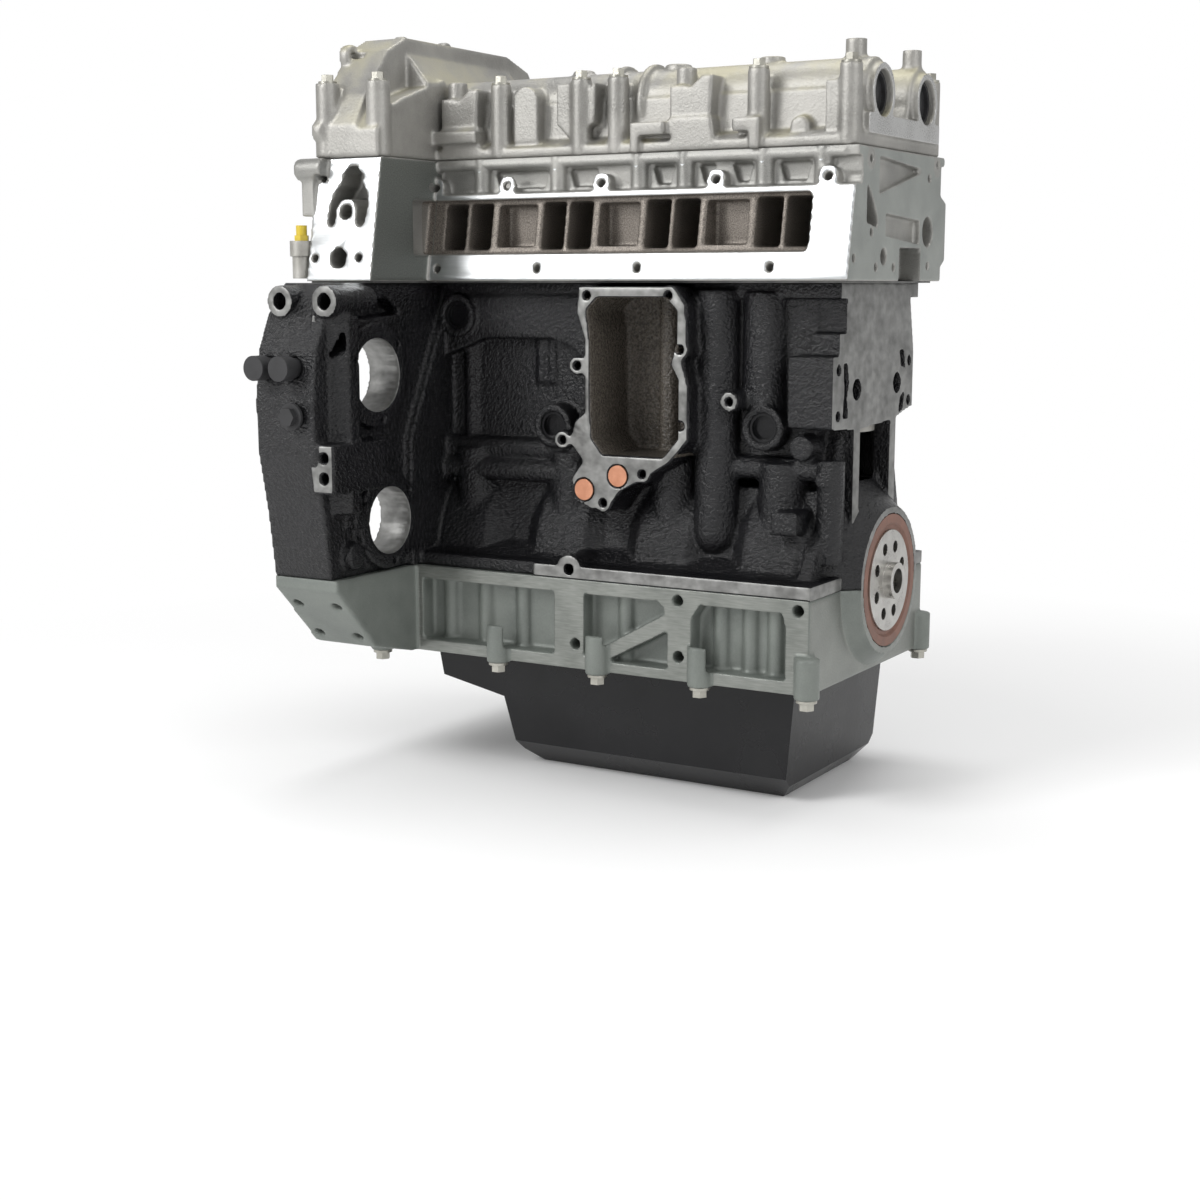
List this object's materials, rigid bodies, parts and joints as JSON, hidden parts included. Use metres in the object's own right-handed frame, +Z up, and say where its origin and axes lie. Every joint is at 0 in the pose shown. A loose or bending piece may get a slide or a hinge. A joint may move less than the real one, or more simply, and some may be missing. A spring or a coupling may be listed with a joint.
{
  "type": "diesel engine",
  "caption": "Diesel long block: black iron block on a grey-green bedplate, light alloy head and cam carrier, bare crank flange and open chain case.",
  "frame": {"origin": "centre of the crank flange's front face", "axes": "+X along the crankshaft out of its bolted flange, +Z up along the cylinders, -Y towards the intake side"},
  "size_m": [0.524, 0.504, 0.689],
  "materials": {
    "block_iron": "rough cast under gloss black paint",
    "bedplate_alloy": "grey-green cast, satin",
    "head_alloy": "cast, with machined faces",
    "carrier_alloy": "sand cast, faint straw tint",
    "pan_paint": "semi-gloss black",
    "fastener_steel": "zinc plated",
    "bright_steel": "ground",
    "seal_rubber": "matte brown",
    "gasket_steel": "dull",
    "copper_plug": "copper, satin",
    "black_plug": "matte black",
    "core_plug": "gloss black",
    "cam_plug": "black moulded rubber over steel",
    "bearing_metal": "plain",
    "piston_alloy": "turned",
    "forged_steel": "forged",
    "spring_steel": "shot peened",
    "chain_steel": "oiled",
    "guide_plastic": "matte",
    "sensor_yellow": "moulded"
  },
  "bodies": {
    "long_block": {"engine_block": "block_iron", "bedplate": "bedplate_alloy", "bedplate_bolts": "fastener_steel", "oil_pan": "pan_paint", "drain_plug": "fastener_steel", "cylinder_head": "head_alloy", "head_gasket": "gasket_steel", "cam_carrier": "carrier_alloy", "carrier_bolts": "fastener_steel", "crank_seal": "seal_rubber", "core_plugs": "core_plug", "case_plugs": "black_plug", "oil_port_plugs": "copper_plug", "cam_end_plugs": "cam_plug", "main_bearing_shells": "bearing_metal", "timing_chain": "chain_steel", "intake_valve_springs": "spring_steel", "exhaust_valve_springs": "spring_steel", "chain_guide": "guide_plastic", "tensioner_pivot": "bright_steel", "tensioner_body": "head_alloy", "oil_pump": "head_alloy", "oil_pickup": "black_plug", "coolant_elbow": "head_alloy", "coolant_sensor": "sensor_yellow"},
    "crank": {"crankshaft": "bright_steel", "crank_nose_bolt": "fastener_steel", "crank_sprocket": "chain_steel"},
    "intake_cam": {"intake_camshaft": "forged_steel", "intake_cam_sprocket": "chain_steel"},
    "exhaust_cam": {"exhaust_camshaft": "forged_steel", "exhaust_cam_sprocket": "chain_steel"},
    "arm": {"tensioner_arm": "guide_plastic"},
    "plunger": {"tensioner_plunger": "bright_steel"},
    "piston_1": {"piston_1": "piston_alloy"},
    "rod_1": {"connecting_rod_1": "forged_steel"},
    "intake_valves_1": {"intake_valves_1": "bright_steel"},
    "exhaust_valves_1": {"exhaust_valves_1": "bright_steel"},
    "piston_2": {"piston_2": "piston_alloy"},
    "rod_2": {"connecting_rod_2": "forged_steel"},
    "intake_valves_2": {"intake_valves_2": "bright_steel"},
    "exhaust_valves_2": {"exhaust_valves_2": "bright_steel"},
    "piston_3": {"piston_3": "piston_alloy"},
    "rod_3": {"connecting_rod_3": "forged_steel"},
    "intake_valves_3": {"intake_valves_3": "bright_steel"},
    "exhaust_valves_3": {"exhaust_valves_3": "bright_steel"},
    "piston_4": {"piston_4": "piston_alloy"},
    "rod_4": {"connecting_rod_4": "forged_steel"},
    "intake_valves_4": {"intake_valves_4": "bright_steel"},
    "exhaust_valves_4": {"exhaust_valves_4": "bright_steel"}
  },
  "joints": [
    {"name": "crank_turn", "type": "hinge", "parent": "long_block", "child": "crank", "pos_m": [-0.23, 0, 0], "axis": [-1, 0, 0], "range_deg": [-15, 15], "deforming": ["timing_chain"]},
    {"name": "intake_cam_turn", "type": "hinge", "parent": "long_block", "child": "intake_cam", "pos_m": [-0.23, -0.0505, 0.421], "axis": [-1, 0, 0], "range_deg": [-8, 8]},
    {"name": "exhaust_cam_turn", "type": "hinge", "parent": "long_block", "child": "exhaust_cam", "pos_m": [-0.23, 0.0505, 0.421], "axis": [-1, 0, 0], "range_deg": [-8, 8]},
    {"name": "piston_1_slide", "type": "slide", "parent": "long_block", "child": "piston_1", "axis": [0, 0, 1], "range_m": [-0.0142, 0.0142]},
    {"name": "rod_1_swing", "type": "hinge", "parent": "piston_1", "child": "rod_1", "pos_m": [-0.07, 0, 0.16329], "axis": [1, 0, 0], "range_deg": [-1.5, 1.5]},
    {"name": "intake_valves_1_lift", "type": "slide", "parent": "long_block", "child": "intake_valves_1", "axis": [0, 0.168, -0.9858], "range_m": [0, 0.0067], "stiffness_N_per_m": 3000, "springref_m": -0.01, "deforming": ["intake_valve_springs"]},
    {"name": "exhaust_valves_1_lift", "type": "slide", "parent": "long_block", "child": "exhaust_valves_1", "axis": [0, -0.168, -0.9858], "range_m": [0, 0.0067], "stiffness_N_per_m": 3000, "springref_m": -0.01, "deforming": ["exhaust_valve_springs"]},
    {"name": "piston_2_slide", "type": "slide", "parent": "long_block", "child": "piston_2", "axis": [0, 0, 1], "range_m": [-0.012, 0.012]},
    {"name": "rod_2_swing", "type": "hinge", "parent": "piston_2", "child": "rod_2", "pos_m": [-0.177, 0, 0.13684], "axis": [1, 0, 0], "range_deg": [-1.5, 1.5]},
    {"name": "intake_valves_2_lift", "type": "slide", "parent": "long_block", "child": "intake_valves_2", "axis": [0, 0.168, -0.9858], "range_m": [0, 0.0067], "stiffness_N_per_m": 3000, "springref_m": -0.01, "deforming": ["intake_valve_springs"]},
    {"name": "exhaust_valves_2_lift", "type": "slide", "parent": "long_block", "child": "exhaust_valves_2", "axis": [0, -0.168, -0.9858], "range_m": [0, 0.002], "stiffness_N_per_m": 3000, "springref_m": -0.01, "deforming": ["exhaust_valve_springs"]},
    {"name": "piston_3_slide", "type": "slide", "parent": "long_block", "child": "piston_3", "axis": [0, 0, 1], "range_m": [-0.012, 0.012]},
    {"name": "rod_3_swing", "type": "hinge", "parent": "piston_3", "child": "rod_3", "pos_m": [-0.284, 0, 0.13684], "axis": [1, 0, 0], "range_deg": [-1.5, 1.5]},
    {"name": "intake_valves_3_lift", "type": "slide", "parent": "long_block", "child": "intake_valves_3", "axis": [0, 0.168, -0.9858], "range_m": [0, 0.0067], "stiffness_N_per_m": 3000, "springref_m": -0.01, "deforming": ["intake_valve_springs"]},
    {"name": "exhaust_valves_3_lift", "type": "slide", "parent": "long_block", "child": "exhaust_valves_3", "axis": [0, -0.168, -0.9858], "range_m": [0, 0.0067], "stiffness_N_per_m": 3000, "springref_m": -0.01, "deforming": ["exhaust_valve_springs"]},
    {"name": "piston_4_slide", "type": "slide", "parent": "long_block", "child": "piston_4", "axis": [0, 0, 1], "range_m": [-0.0142, 0.0142]},
    {"name": "rod_4_swing", "type": "hinge", "parent": "piston_4", "child": "rod_4", "pos_m": [-0.391, 0, 0.16329], "axis": [1, 0, 0], "range_deg": [-1.5, 1.5]},
    {"name": "intake_valves_4_lift", "type": "slide", "parent": "long_block", "child": "intake_valves_4", "axis": [0, 0.168, -0.9858], "range_m": [0, 0.002], "stiffness_N_per_m": 3000, "springref_m": -0.01, "deforming": ["intake_valve_springs"]},
    {"name": "exhaust_valves_4_lift", "type": "slide", "parent": "long_block", "child": "exhaust_valves_4", "axis": [0, -0.168, -0.9858], "range_m": [0, 0.0067], "stiffness_N_per_m": 3000, "springref_m": -0.01, "deforming": ["exhaust_valve_springs"]},
    {"name": "arm_swing", "type": "hinge", "parent": "long_block", "child": "arm", "pos_m": [-0.474, -0.09351, 0.34257], "axis": [1, 0, 0], "range_deg": [-1, 1.5], "deforming": ["timing_chain"]},
    {"name": "plunger_slide", "type": "slide", "parent": "long_block", "child": "plunger", "axis": [0, 1, 0], "range_m": [-0.0045, 0.006]}
  ],
  "couplings": [
    {"joint": "intake_cam_turn", "follows": "crank_turn", "ratio": 0.5},
    {"joint": "exhaust_cam_turn", "follows": "crank_turn", "ratio": 0.5},
    {"joint": "piston_1_slide", "follows": "crank_turn", "m_per_rad": -0.054035},
    {"joint": "rod_1_swing", "follows": "crank_turn", "ratio": 0.08866},
    {"joint": "piston_2_slide", "follows": "crank_turn", "m_per_rad": 0.045288},
    {"joint": "rod_2_swing", "follows": "crank_turn", "ratio": -0.08868},
    {"joint": "piston_3_slide", "follows": "crank_turn", "m_per_rad": 0.045288},
    {"joint": "rod_3_swing", "follows": "crank_turn", "ratio": -0.08868},
    {"joint": "piston_4_slide", "follows": "crank_turn", "m_per_rad": -0.054035},
    {"joint": "rod_4_swing", "follows": "crank_turn", "ratio": 0.08866},
    {"joint": "plunger_slide", "follows": "arm_swing", "m_per_rad": 0.21684}
  ]
}
